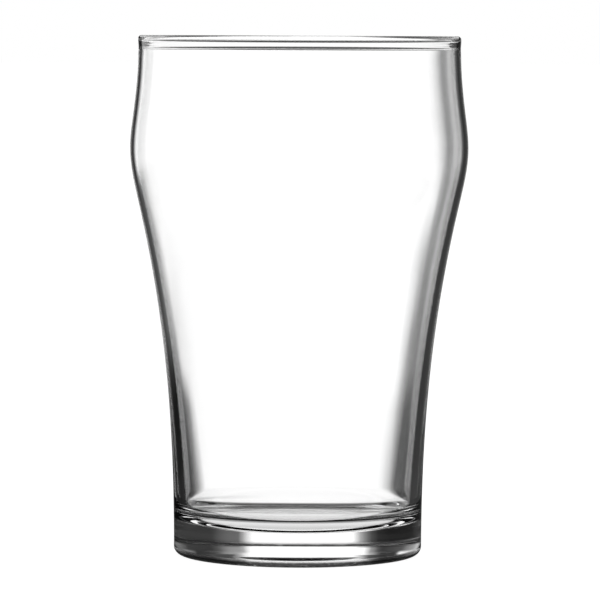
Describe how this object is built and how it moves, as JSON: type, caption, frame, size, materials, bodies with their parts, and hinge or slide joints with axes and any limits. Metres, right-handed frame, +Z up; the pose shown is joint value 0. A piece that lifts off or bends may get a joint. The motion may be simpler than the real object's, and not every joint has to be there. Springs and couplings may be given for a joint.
{
  "type": "pint glass",
  "caption": "Clear beer tumbler with a heavy base, a tapered flank, a soft bulge below the mouth and a rounded lip; holds a pint to the brim.",
  "frame": {"origin": "on the glass's axis, in the plane that it stands on", "axes": "+Z up along the axis of revolution; the glass looks the same from every side, so +X and +Y are free"},
  "size_m": [0.0912, 0.0912, 0.14],
  "materials": {
    "clear_glass": "polished"
  },
  "bodies": {
    "root": {"base": "clear_glass", "tapered_wall": "clear_glass", "bulge_wall": "clear_glass", "lip": "clear_glass"}
  },
  "joints": []
}
